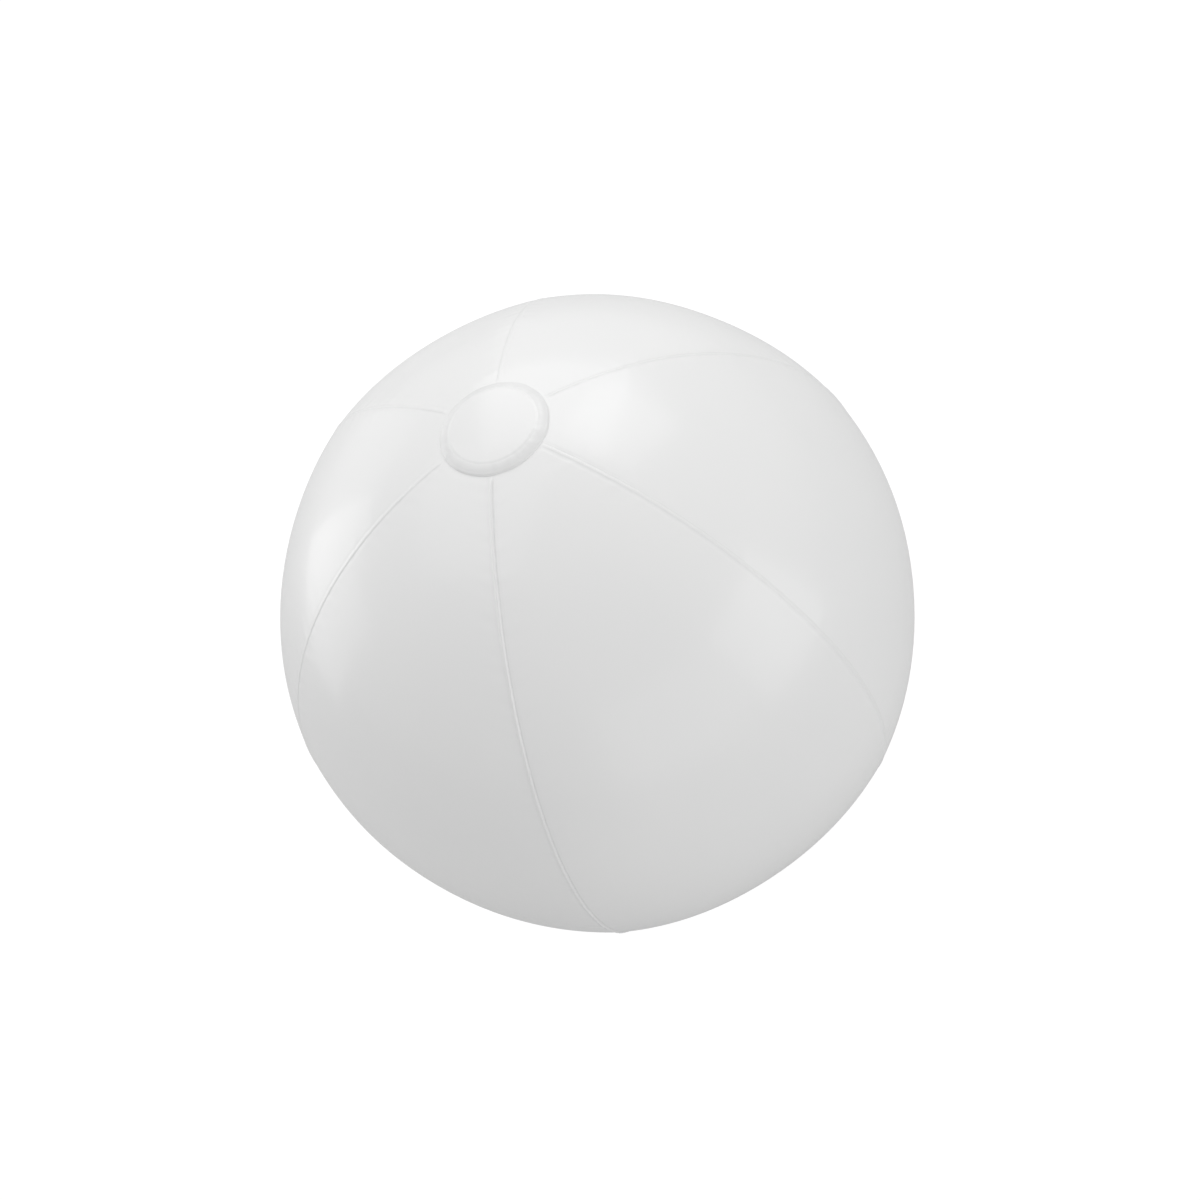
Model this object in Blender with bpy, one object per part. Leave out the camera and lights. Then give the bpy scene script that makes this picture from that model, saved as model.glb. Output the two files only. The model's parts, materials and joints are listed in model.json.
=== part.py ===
"""Inflatable beach ball: six welded gores, a weld disc at each pole and a push-in valve.

The ball's centre is the origin and the pole axis is +Z. A seam lies on the +X half-plane, and the
others follow every 60 degrees. The valve is in the middle of the gore centred on +Y, nearer to the
lower pole, and is stored pushed in with its plug closed. Metres throughout.
"""

from math import asin, cos, pi, radians, sin, sqrt

import bmesh
import bpy
from mathutils import Vector

MM = 0.001

# Ball
BALL_RADIUS = 140 * MM
FILM = 0.25 * MM
WELD_GAP = 0.3 * MM
GORES = 6
GORE_SPAN = 2 * pi / GORES
SEAM_RIDGE = 0.012
FIN_DEPTH = 3 * MM
GORE_COLUMNS = 6
GORE_ROWS = 20
GORE_TIP_ANGLE = radians(6.8)
GORE_WELD_ANGLE = radians(9.4)

# Pole discs
DISC_RADIUS = 21.9 * MM
DISC_RING_INNER = 19.7 * MM
DISC_STEP_WIDTH = 2.7 * MM
DISC_STEP_HEIGHT = 0.85 * MM
DISC_STEP_ROWS = 3
DISC_CROWN = 0.25 * MM
DISC_SEGMENTS = GORES * GORE_COLUMNS
FOOT_RADIUS = 10 * MM

# Valve, seen along its own axis: +Z points out of the ball and 0 is the film's outer face
VALVE_POLAR = radians(140)
VALVE_GORE = 2
VALVE_SEGMENTS = 24
FLANGE_RADIUS = 13.5 * MM
FLANGE_THICK = 0.6 * MM
HOLE_RADIUS = 9.0 * MM
HOLE_GUIDE_DEPTH = 8 * MM
WEB_THICK = 0.4 * MM
WEB_TOP = (8.5 * MM, 0.35 * MM)
WEB_FOOT = (5.55 * MM, -6.4 * MM)
WEB_STEPS = 4
STEM_RADIUS = 4.5 * MM
STEM_RIM = 5.0 * MM
BORE_RADIUS = 3.0 * MM
STEM_TOP = -0.6 * MM
STEM_FOOT = -11.6 * MM
RIM_EDGE = 0.2 * MM
RIM_HEIGHT = 0.7 * MM
RIM_TAPER = 0.4 * MM
COLLAR_TOP = -5.9 * MM
COLLAR_FOOT = -6.9 * MM
COLLAR_EDGE = 0.1 * MM
HINGE_LUG_TOP = -10.4 * MM
HINGE_LUG_STEP = -11.3 * MM
HINGE_LUG_FOOT = -12.4 * MM
HINGE_LUG_FRONT = -4.2 * MM
HINGE_LUG_WALL = -4.75 * MM
HINGE_LUG_BACK = -5.4 * MM
PLUG_RADIUS = 2.7 * MM
PLUG_FOOT = -6.3 * MM
HEAD_RADIUS = 5.0 * MM
HEAD_UNDER = -0.3 * MM
HEAD_TOP = 0.9 * MM
HEAD_CROWN = 0.2 * MM
LUG_START = 4.2 * MM
LUG_REACH = 6.9 * MM
LUG_WIDTH = 1.6 * MM
LUG_ANGLE = radians(57.5)
STEM_LUG = (-1.45 * MM, -0.7 * MM)
HEAD_LUG = (-0.2 * MM, 0.55 * MM)
PULL_TAB = (0, 0.55 * MM)
PULL_TAB_WIDTH = 3.6 * MM
TETHER_HALF_ANGLE = radians(46)
TETHER_RADIUS = 6.2 * MM
TETHER_WIDTH = 1.4 * MM
TETHER_THICK = 0.7 * MM
TETHER_STEPS = 14
FLAP_RADIUS = 4.0 * MM
FLAP_THICK = 0.5 * MM
FLAP_TOP = -11.9 * MM
FLAP_HINGE_Y = -4.2 * MM
FLAP_EAR_WIDTH = 3.0 * MM
FLAP_EAR_END = -4.4 * MM
FLAP_STEPS = 20

WHITE_FILM = (0.93, 0.93, 0.93, 1.0)
WHITE_VINYL = (0.90, 0.90, 0.89, 1.0)


def clear_scene():
    for item in list(bpy.data.objects):
        bpy.data.objects.remove(item, do_unlink=True)


def material(name, colour, roughness):
    made = bpy.data.materials.new(name)
    made.use_nodes = True
    shader = made.node_tree.nodes["Principled BSDF"]
    shader.inputs["Base Color"].default_value = colour
    shader.inputs["Roughness"].default_value = roughness
    shader.inputs["Metallic"].default_value = 0.0
    made.diffuse_color = colour
    return made


def finish_object(name, mesh_data, colour, roughness, parent=None):
    """Puts the bmesh into a new object with its own material, faces outward and smooth."""
    bmesh.ops.remove_doubles(mesh_data, verts=mesh_data.verts, dist=0.001 * MM)
    bmesh.ops.recalc_face_normals(mesh_data, faces=mesh_data.faces)
    mesh = bpy.data.meshes.new(name)
    mesh_data.to_mesh(mesh)
    mesh_data.free()
    mesh.shade_smooth()
    mesh.set_sharp_from_angle(angle=radians(35))
    mesh.materials.append(material(name + "_finish", colour, roughness))
    made = bpy.data.objects.new(name, mesh)
    bpy.context.scene.collection.objects.link(made)
    made.parent = parent
    return made


def boolean(target, tool, operation):
    """Cuts or joins the tool, which stays in the file as a wire guide."""
    tool.hide_render = True
    tool.display_type = "WIRE"
    step = target.modifiers.new(operation.lower() + "_" + tool.name, "BOOLEAN")
    step.operation = operation
    step.object = tool


# Gores


def seam_swell(polar, across):
    """How far the film stands from a true sphere, as a share of the radius.

    A gore is flatter than a sphere across its width, so its two edges are slight ridges. across is
    0 on the gore's middle line and 1 at a seam, and the swell dies away towards the poles.
    """
    return SEAM_RIDGE * sin(polar) ** 2 * (across**2 - 1 / 3)


def film_point(polar, azimuth, middle, depth):
    """A point depth below the film's outer face, on the gore whose middle line is at that azimuth."""
    across = (azimuth - middle) / (GORE_SPAN / 2)
    radius = BALL_RADIUS * (1 + seam_swell(polar, across)) - depth
    flat = radius * sin(polar)
    return Vector((flat * cos(azimuth), flat * sin(azimuth), radius * cos(polar)))


def edge_azimuth(polar, depth, inset):
    """Half the gore's angle at that polar angle, less an inset measured square to the seam plane."""
    flat = (BALL_RADIUS - depth) * sin(polar)
    return GORE_SPAN / 2 - asin(inset / flat)


def gore_section(polar, middle):
    """One closed ring of points round the film and the two weld fins, at one polar angle."""
    outer_half = edge_azimuth(polar, 0, WELD_GAP / 2)
    inner_half = edge_azimuth(polar, FILM, WELD_GAP / 2 + FILM)
    step = GORE_SPAN / GORE_COLUMNS
    between = [-GORE_SPAN / 2 + step * k for k in range(1, GORE_COLUMNS)]
    outer = [film_point(polar, middle + a, middle, 0) for a in [-outer_half, *between, outer_half]]
    inner = [film_point(polar, middle + a, middle, FILM) for a in [-inner_half, *between, inner_half]]
    fin_outer = edge_azimuth(polar, FIN_DEPTH, WELD_GAP / 2)
    fin_inner = edge_azimuth(polar, FIN_DEPTH, WELD_GAP / 2 + FILM)
    right = [film_point(polar, middle + a, middle, FIN_DEPTH) for a in (fin_outer, fin_inner)]
    left = [film_point(polar, middle - a, middle, FIN_DEPTH) for a in (fin_inner, fin_outer)]
    return outer + right + inner[::-1] + left


def gore_polar_angles():
    """Polar angles of the rows: the tips, the rims of the pole welds, and even steps between."""
    span = pi - 2 * GORE_WELD_ANGLE
    rows = [GORE_WELD_ANGLE + span * k / GORE_ROWS for k in range(GORE_ROWS + 1)]
    return [GORE_TIP_ANGLE, *rows, pi - GORE_TIP_ANGLE]


def cap_gore(ring):
    """Closes a gore's cut tip with one quad for each column and one for each fin."""
    count = GORE_COLUMNS + 1
    outer = ring[:count]
    right = ring[count : count + 2]
    inner = ring[count + 2 : 2 * count + 2][::-1]
    left = ring[2 * count + 2 :]
    quads = [
        (outer[k], outer[k + 1], inner[k + 1], inner[k]) for k in range(GORE_COLUMNS)
    ]
    quads.append((outer[-1], right[0], right[1], inner[-1]))
    quads.append((outer[0], inner[0], left[0], left[1]))
    return quads


def make_gore(number):
    middle = GORE_SPAN * (number - 0.5)
    mesh_data = bmesh.new()
    rings = [
        [mesh_data.verts.new(point) for point in gore_section(polar, middle)]
        for polar in gore_polar_angles()
    ]
    for upper, lower in zip(rings, rings[1:]):
        for k in range(len(upper)):
            after = (k + 1) % len(upper)
            mesh_data.faces.new((upper[k], lower[k], lower[after], upper[after]))
    for ring in (rings[0], rings[-1]):
        for quad in cap_gore(ring):
            mesh_data.faces.new(quad)
    return finish_object(f"gore_panel_{number}", mesh_data, WHITE_FILM, 0.35)


# Turned pieces


def turned(profile, steps):
    """A bmesh turned about Z from an outline of (radius, height) points.

    The outline is closed, except where it starts and ends on the axis.
    """
    mesh_data = bmesh.new()
    ring = [mesh_data.verts.new((r, 0, z)) for r, z in profile]
    edges = [mesh_data.edges.new(pair) for pair in zip(ring, ring[1:])]
    if profile[0][0] > 0:
        edges.append(mesh_data.edges.new((ring[-1], ring[0])))
    bmesh.ops.spin(
        mesh_data,
        geom=ring + edges,
        cent=(0, 0, 0),
        axis=(0, 0, 1),
        angle=2 * pi,
        steps=steps,
        use_merge=True,
    )
    return mesh_data


def cap_height(radius, ball):
    """Height of a sphere's surface over its centre, that far from the axis."""
    return sqrt(ball**2 - radius**2)


# Pole discs


def disc_lift(radius):
    """Height of the disc's outer face over the ball: a flat weld ring, a step and a low crown."""
    ring = WELD_GAP + FILM
    rise = min(1, max(0, (DISC_RING_INNER - radius) / DISC_STEP_WIDTH))
    step = DISC_STEP_HEIGHT * rise * rise * (3 - 2 * rise)
    inside = min(1, radius / (DISC_RING_INNER - DISC_STEP_WIDTH))
    return ring + step + DISC_CROWN * (1 - inside**2)


def disc_profile(foot_radius):
    """Outer face from the centre to the rim and back along the inner face.

    A foot radius presses the middle flat, as the ball's weight does where it stands.
    """
    step_top = DISC_RING_INNER - DISC_STEP_WIDTH
    step_rows = [step_top + DISC_STEP_WIDTH * k / DISC_STEP_ROWS for k in range(DISC_STEP_ROWS + 1)]
    between = (FOOT_RADIUS + step_top) / 2
    radii = [0, FOOT_RADIUS / 2, FOOT_RADIUS, between, *step_rows, DISC_RADIUS]
    floor = cap_height(foot_radius, BALL_RADIUS) + disc_lift(foot_radius)
    outer = [(r, min(floor, cap_height(r, BALL_RADIUS) + disc_lift(r))) for r in radii]
    return outer + [(r, z - FILM) for r, z in outer[::-1]]


def make_disc(name, foot_radius, side):
    profile = [(r, side * z) for r, z in disc_profile(foot_radius)]
    return finish_object(name, turned(profile, DISC_SEGMENTS), WHITE_FILM, 0.35)


# Valve


def make_valve_axis():
    """The empty that carries the valve: its +Z is the valve's axis, pointing out of the ball."""
    axis = bpy.data.objects.new("valve_axis", None)
    bpy.context.scene.collection.objects.link(axis)
    radius = BALL_RADIUS * (1 + seam_swell(VALVE_POLAR, 0))
    axis.location = (0, radius * sin(VALVE_POLAR), radius * cos(VALVE_POLAR))
    axis.rotation_euler = (-VALVE_POLAR, 0, 0)
    return axis


def prism(name, outline, width, parent):
    """A guide solid: a (y, z) outline pushed out both ways along X."""
    mesh_data = bmesh.new()
    near = [mesh_data.verts.new((-width / 2, y, z)) for y, z in outline]
    face = mesh_data.faces.new(near)
    pushed = bmesh.ops.extrude_face_region(mesh_data, geom=[face])["geom"]
    far = [v for v in pushed if isinstance(v, bmesh.types.BMVert)]
    bmesh.ops.translate(mesh_data, verts=far, vec=(width, 0, 0))
    return finish_object(name, mesh_data, WHITE_VINYL, 0.4, parent)


def lug(name, turn, heights, reach, width, parent):
    """A small bar that stands out from the stem or the plug's head, turned to its place."""
    low, high = heights
    outline = [(LUG_START, low), (reach, low), (reach, high), (LUG_START, high)]
    made = prism(name, outline, width, parent)
    made.rotation_euler.z = turn - pi / 2
    return made


def make_hole_cutter(parent):
    """The round guide that opens the film where the valve passes."""
    mesh_data = bmesh.new()
    bmesh.ops.create_cone(
        mesh_data,
        cap_ends=True,
        segments=VALVE_SEGMENTS,
        radius1=HOLE_RADIUS,
        radius2=HOLE_RADIUS,
        depth=HOLE_GUIDE_DEPTH,
    )
    return finish_object("valve_hole_guide", mesh_data, WHITE_FILM, 0.4, parent)


def make_flange(parent):
    """A ring that follows the ball's curve, thinned towards its outer edge."""
    radii = [HOLE_RADIUS, 10.0 * MM, 11.8 * MM, FLANGE_RADIUS]
    thick = [1.0, 1.0, 0.75, 0.4]
    under = [(r, WELD_GAP + cap_height(r, BALL_RADIUS) - BALL_RADIUS) for r in radii]
    over = [(r, z + FLANGE_THICK * share) for (r, z), share in zip(under, thick)]
    profile = over + under[::-1]
    finish_object("valve_flange", turned(profile, VALVE_SEGMENTS), WHITE_VINYL, 0.4, parent)


def make_web(parent):
    """The soft cone that turns inside out when the stem is pulled, in its pushed-in shape."""
    top = Vector(WEB_TOP)
    foot = Vector(WEB_FOOT)
    side = (foot - top).normalized()
    across = Vector((-side.y, side.x)) * WEB_THICK / 2
    line = [top.lerp(foot, k / WEB_STEPS) for k in range(WEB_STEPS + 1)]
    outside = [tuple(point + across) for point in line]
    inside = [tuple(point - across) for point in line[::-1]]
    finish_object("valve_web", turned(outside + inside, VALVE_SEGMENTS), WHITE_VINYL, 0.45, parent)


def make_stem(parent):
    """The tube that is blown into, with the collar that the web holds and the rim under the plug."""
    profile = [
        (BORE_RADIUS, STEM_TOP),
        (STEM_RIM - RIM_EDGE, STEM_TOP),
        (STEM_RIM, STEM_TOP - RIM_EDGE),
        (STEM_RIM, STEM_TOP - RIM_HEIGHT),
        (STEM_RADIUS, STEM_TOP - RIM_HEIGHT - RIM_TAPER),
        (STEM_RADIUS, COLLAR_TOP + COLLAR_EDGE),
        (STEM_RIM, COLLAR_TOP),
        (STEM_RIM, COLLAR_FOOT),
        (STEM_RADIUS, COLLAR_FOOT - COLLAR_EDGE),
        (STEM_RADIUS, STEM_FOOT),
        (BORE_RADIUS, STEM_FOOT),
    ]
    stem = finish_object("valve_stem", turned(profile, VALVE_SEGMENTS), WHITE_VINYL, 0.4, parent)
    strap_lug = lug("stem_lug_guide", pi / 2 + LUG_ANGLE, STEM_LUG, LUG_REACH, LUG_WIDTH, parent)
    boolean(stem, strap_lug, "UNION")
    hinge_outline = [
        (HINGE_LUG_FRONT, HINGE_LUG_TOP),
        (HINGE_LUG_BACK, HINGE_LUG_TOP),
        (HINGE_LUG_BACK, HINGE_LUG_FOOT),
        (HINGE_LUG_WALL, HINGE_LUG_FOOT),
        (HINGE_LUG_WALL, HINGE_LUG_STEP),
        (HINGE_LUG_FRONT, HINGE_LUG_STEP),
    ]
    boolean(stem, prism("hinge_lug_guide", hinge_outline, FLAP_EAR_WIDTH, parent), "UNION")
    return stem


def make_plug(parent):
    """The stopper with its crowned head, the tether's lug and the pull tab."""
    profile = [
        (0, HEAD_TOP + HEAD_CROWN),
        (HEAD_RADIUS * 0.6, HEAD_TOP + HEAD_CROWN * 0.7),
        (HEAD_RADIUS - 0.3 * MM, HEAD_TOP),
        (HEAD_RADIUS, HEAD_TOP - 0.3 * MM),
        (HEAD_RADIUS, HEAD_UNDER + 0.2 * MM),
        (HEAD_RADIUS - 0.2 * MM, HEAD_UNDER),
        (PLUG_RADIUS, HEAD_UNDER),
        (PLUG_RADIUS, PLUG_FOOT + 0.7 * MM),
        (PLUG_RADIUS - 0.5 * MM, PLUG_FOOT),
        (0, PLUG_FOOT),
    ]
    plug = finish_object("valve_plug", turned(profile, VALVE_SEGMENTS), WHITE_VINYL, 0.4, parent)
    strap_lug = lug("head_lug_guide", pi / 2 - LUG_ANGLE, HEAD_LUG, LUG_REACH, LUG_WIDTH, parent)
    boolean(plug, strap_lug, "UNION")
    pull_tab = lug("pull_tab_guide", -pi / 2, PULL_TAB, LUG_REACH, PULL_TAB_WIDTH, parent)
    boolean(plug, pull_tab, "UNION")
    return plug


def make_tether(parent):
    """The strap round the head, from the stem's lug up to the head's lug."""
    low = sum(STEM_LUG) / 2
    high = sum(HEAD_LUG) / 2
    mesh_data = bmesh.new()
    rings = []
    for k in range(TETHER_STEPS + 1):
        share = k / TETHER_STEPS
        turn = pi / 2 + TETHER_HALF_ANGLE * (1 - 2 * share)
        height = low + (high - low) * share * share * (3 - 2 * share)
        corners = [(-1, -1), (1, -1), (1, 1), (-1, 1)]
        ring = []
        for a, b in corners:
            radius = TETHER_RADIUS + a * TETHER_WIDTH / 2
            place = (radius * cos(turn), radius * sin(turn), height + b * TETHER_THICK / 2)
            ring.append(mesh_data.verts.new(place))
        rings.append(ring)
    for before, after in zip(rings, rings[1:]):
        for k in range(4):
            mesh_data.faces.new((before[k], before[k - 1], after[k - 1], after[k]))
    mesh_data.faces.new(rings[0])
    mesh_data.faces.new(rings[-1])
    return finish_object("plug_tether", mesh_data, WHITE_VINYL, 0.4, parent)


def make_flap(parent):
    """The round flap under the bore with its ear, on an origin that lies on its hinge."""
    middle = FLAP_TOP - FLAP_THICK / 2
    hinge = bpy.data.objects.new("flap_hinge", None)
    bpy.context.scene.collection.objects.link(hinge)
    hinge.parent = parent
    hinge.location = (0, FLAP_HINGE_Y, middle)
    half_ear = FLAP_EAR_WIDTH / 2
    ear_turn = asin(half_ear / FLAP_RADIUS)
    first = -pi / 2 + ear_turn
    sweep = 2 * pi - 2 * ear_turn
    turns = [first + sweep * k / FLAP_STEPS for k in range(FLAP_STEPS + 1)]
    outline = [(FLAP_RADIUS * cos(t), FLAP_RADIUS * sin(t)) for t in turns]
    outline += [(-half_ear, FLAP_EAR_END), (half_ear, FLAP_EAR_END)]
    mesh_data = bmesh.new()
    lower = [mesh_data.verts.new((x, y - FLAP_HINGE_Y, -FLAP_THICK / 2)) for x, y in outline]
    face = mesh_data.faces.new(lower)
    pushed = bmesh.ops.extrude_face_region(mesh_data, geom=[face])["geom"]
    upper = [v for v in pushed if isinstance(v, bmesh.types.BMVert)]
    bmesh.ops.translate(mesh_data, verts=upper, vec=(0, 0, FLAP_THICK))
    return finish_object("check_flap", mesh_data, WHITE_VINYL, 0.45, hinge)


def main():
    clear_scene()
    gores = [make_gore(number) for number in range(1, GORES + 1)]
    make_disc("top_pole_disc", 0, 1)
    make_disc("base_pole_disc", FOOT_RADIUS, -1)
    valve_axis = make_valve_axis()
    boolean(gores[VALVE_GORE - 1], make_hole_cutter(valve_axis), "DIFFERENCE")
    make_flange(valve_axis)
    make_web(valve_axis)
    make_stem(valve_axis)
    make_plug(valve_axis)
    make_tether(valve_axis)
    make_flap(valve_axis)


main()
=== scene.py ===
# %% [markdown]
# # An inflatable beach ball
#
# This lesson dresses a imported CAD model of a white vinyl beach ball. Six long panels, called gores,
# are welded edge to edge, a round disc is welded over their tips at each pole, and a soft push-in
# valve sits in one gore near the lower pole. The CAD model holds the sizes and the motion. Here
# every piece gets the shape of real welded film, a finish, and a plain studio to stand in.

# %% Load the frame
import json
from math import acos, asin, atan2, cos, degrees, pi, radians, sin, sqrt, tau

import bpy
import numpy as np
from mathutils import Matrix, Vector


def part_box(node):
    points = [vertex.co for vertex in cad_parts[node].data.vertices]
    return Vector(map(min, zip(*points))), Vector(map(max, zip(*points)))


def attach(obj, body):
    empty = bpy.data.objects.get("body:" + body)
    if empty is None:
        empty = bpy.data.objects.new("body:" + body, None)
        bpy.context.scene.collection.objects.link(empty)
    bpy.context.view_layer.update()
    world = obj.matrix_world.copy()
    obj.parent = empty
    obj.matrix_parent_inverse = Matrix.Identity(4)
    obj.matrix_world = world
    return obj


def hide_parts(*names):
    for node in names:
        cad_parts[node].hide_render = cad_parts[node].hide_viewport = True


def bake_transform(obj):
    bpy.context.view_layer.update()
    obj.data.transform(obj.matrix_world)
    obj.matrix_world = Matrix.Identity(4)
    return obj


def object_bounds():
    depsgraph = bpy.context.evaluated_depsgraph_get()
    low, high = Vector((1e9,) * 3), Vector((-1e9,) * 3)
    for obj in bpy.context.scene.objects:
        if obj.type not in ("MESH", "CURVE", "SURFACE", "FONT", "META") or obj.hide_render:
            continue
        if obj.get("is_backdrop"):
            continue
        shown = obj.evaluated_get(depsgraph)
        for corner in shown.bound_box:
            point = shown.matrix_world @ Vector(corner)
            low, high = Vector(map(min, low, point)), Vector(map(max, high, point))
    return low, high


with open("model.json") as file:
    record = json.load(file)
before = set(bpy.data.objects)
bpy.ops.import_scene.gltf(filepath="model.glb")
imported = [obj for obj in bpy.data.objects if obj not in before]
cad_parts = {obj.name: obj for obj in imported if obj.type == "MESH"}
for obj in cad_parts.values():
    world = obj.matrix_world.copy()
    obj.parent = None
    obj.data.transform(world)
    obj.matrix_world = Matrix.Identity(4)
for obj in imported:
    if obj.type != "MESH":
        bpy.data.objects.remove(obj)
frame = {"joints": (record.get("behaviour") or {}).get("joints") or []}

# %% [markdown]
# ## Sizes read from the frame
#
# The ball's driving sizes are read, not guessed. The seam radius is the reach of the first gore along
# +X, the disc's radius is half its box, and the valve's axis is the axis of the joint that pushes it
# in. What the CAD leaves out is chosen here: the width of a weld bead, the waver, the wrinkles. The
# valve's outlines further down are listed, and follow the CAD model's own sizes.

MM = 0.001
cad_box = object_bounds()
SEAM_RIDGE = 0.012
SEAM_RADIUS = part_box("gore_panel_1")[1].x
BALL_RADIUS = SEAM_RADIUS / (1 + SEAM_RIDGE * 2 / 3)
disc_low, disc_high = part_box("top_pole_disc")
DISC_RADIUS = (disc_high.x - disc_low.x) / 2
FLOOR_HEIGHT = cad_box[0].z
FILM = 0.25 * MM
GORES = 6
GORE_SPAN = tau / GORES
joint_of = {joint["name"]: joint for joint in frame["joints"]}
valve_direction = Vector(joint_of["valve_push"]["axis"]).normalized()
VALVE_POLAR = acos(valve_direction.z)
VALVE_AZIMUTH = atan2(valve_direction.y, valve_direction.x)
print(f"ball radius {BALL_RADIUS / MM:.1f} mm, disc radius {DISC_RADIUS / MM:.1f} mm")
print(f"valve {degrees(VALVE_POLAR):.0f} degrees from the top pole")

# %% [markdown]
# ## A few habits for modelling by script
#
# An operator acts on whatever is selected, and loading the frame leaves the CAD nodes selected, so
# each piece starts by clearing the selection. The helpers below start a piece, switch modes, pick
# points by a rule, and move points by a formula, which is how the soft film gets its swell.


# %% Helpers for one piece at a time
def start_fresh():
    bpy.ops.object.select_all(action="DESELECT")


def edit():
    bpy.ops.object.mode_set(mode="EDIT")


def leave_edit():
    bpy.ops.object.mode_set(mode="OBJECT")


def points_of(piece):
    """The piece's points as an array of x, y, z rows."""
    flat = np.empty(len(piece.data.vertices) * 3, np.float32)
    piece.data.vertices.foreach_get("co", flat)
    return flat.reshape(-1, 3).astype(float)


def move_points(piece, places):
    piece.data.vertices.foreach_set("co", places.astype(np.float32).ravel())
    piece.data.update()


def select_points(piece, chosen):
    """Selects the points that the mask is true for, and the edges and faces between them."""
    leave_edit()
    piece.data.polygons.foreach_set("select", np.zeros(len(piece.data.polygons), bool))
    piece.data.edges.foreach_set("select", np.zeros(len(piece.data.edges), bool))
    piece.data.vertices.foreach_set("select", chosen)
    edit()
    bpy.ops.mesh.select_mode(type="VERT")


def name_piece(name):
    piece = bpy.context.object
    piece.name = name
    piece.data.name = name
    return piece


def apply_modifier(piece, kind, **settings):
    """Adds one modifier to the active piece, sets it up and applies it."""
    added = piece.modifiers.new(kind.lower(), kind)
    for key, value in settings.items():
        setattr(added, key, value)
    bpy.ops.object.modifier_apply(modifier=added.name)


def smooth(piece, angle=40):
    bpy.ops.object.shade_smooth_by_angle(angle=radians(angle))
    print(f"{piece.name}: {len(piece.data.polygons)} faces")


def rise(value, low, high):
    """0 below low, 1 above high, and a smooth slope between."""
    share = np.clip((value - low) / (high - low), 0, 1)
    return share * share * (3 - 2 * share)


# %% [markdown]
# ## How inflated film really sits
#
# A gore is cut from flat sheet, so air pressure can round it along its length but hardly across it.
# Its two edges end up a little further from the centre than its middle, and the ball is a very soft
# hexagon seen from a pole. The film also wavers by a few tenths of a millimetre, and it pulls into
# short shallow puckers where it meets a weld. A sum of sine waves with unlike lengths gives that
# waver. It costs nothing, and unlike random noise it comes out the same on both sides of a seam.


# %% Waves that never repeat
def waver(along, lengths, seed):
    """A smooth wandering value of about -1 to 1 along a line, built from waves of these lengths."""
    total = np.zeros_like(along)
    for k, length in enumerate(lengths):
        phase = 2.399 * (seed + 1) * (k + 1) + 0.7 * seed
        total += np.sin(tau * along / length + phase)
    return total / sqrt(len(lengths) * 2)


SAG_HEIGHT = 0.07 * MM


def sag(places):
    """The film's broad unevenness, as a height over the ball at each place."""
    directions = [(1, 0.4, 0.2), (-0.3, 1, 0.5), (0.5, -0.6, 1), (0.9, 0.8, -0.7), (-0.8, 0.5, 0.9)]
    lengths = [97 * MM, 71 * MM, 118 * MM, 59 * MM, 83 * MM]
    total = np.zeros(len(places))
    for k, (direction, length) in enumerate(zip(directions, lengths)):
        toward = np.array(direction) / np.linalg.norm(direction)
        total += np.sin(tau * (places @ toward) / length + 1.3 * k)
    return total * SAG_HEIGHT


# %% [markdown]
# ## The weld bead
#
# Two gores are laid edge to edge and welded by heat and pressure. The softened vinyl squeezes up
# into a narrow bead, about as wide as a pencil line, with a faint valley on each side and a hairline
# down its middle where the two sheets meet. No two centimetres of it are alike, so its height and
# its path both waver, and the welds differ too, because the ones closed last are squeezed hardest. One
# sheet's edge laps the other by a hair, and leaves a fine crease along that side. The same function is
# read by the gores on both sides of a seam, which keeps them joined.

# %% The relief across a seam
BEAD_HALF = 0.98 * MM
BEAD_HEIGHT = 0.36 * MM
WELD_STRENGTH = (0.65, 0.35, 0.4, 0.5, 1.3, 0.55)
BEAD_WANDER = 0.07 * MM
VALLEY_PLACE = 1.5 * MM
VALLEY_HALF = 0.55 * MM
VALLEY_DEPTH = 0.04 * MM
HAIRLINE_HALF = 0.14 * MM
HAIRLINE_DEPTH = 0.05 * MM
CREASE_PLACE = 0.78 * MM
CREASE_HALF = 0.3 * MM
CREASE_DEPTH = 0.15 * MM
HEIGHT_WAVER = 0.22
PUCKER_REACH = 7 * MM
PUCKER_HEIGHT = 0.07 * MM
DISC_EDGE_ANGLE = asin(DISC_RADIUS / BALL_RADIUS)
FULL_BEAD_ANGLE = DISC_EDGE_ANGLE + radians(1.4)


def weld_relief(across, along, seam):
    """Height over the film at a distance across a seam and a place along it."""
    height = BEAD_HEIGHT * WELD_STRENGTH[seam]
    height *= 1 + HEIGHT_WAVER * waver(along, (4.1 * MM, 6.7 * MM, 13.3 * MM), seam)
    middle = BEAD_WANDER * waver(along, (5.3 * MM, 9.1 * MM, 31 * MM), seam + 7)
    off = across - middle
    bead = height * np.cos(np.clip(off / BEAD_HALF, -1, 1) * pi / 2) ** 2
    valley = VALLEY_DEPTH * np.exp(-(((np.abs(off) - VALLEY_PLACE) / VALLEY_HALF) ** 2))
    hairline = HAIRLINE_DEPTH * np.exp(-((across / HAIRLINE_HALF) ** 2))
    return bead - valley - hairline - CREASE_DEPTH * WELD_STRENGTH[seam] * crease_mask(off)


def crease_mask(off):
    """1 along the fine crease beside the bead, where one sheet's edge laps the other."""
    return np.exp(-(((off - CREASE_PLACE) / CREASE_HALF) ** 2))


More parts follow.
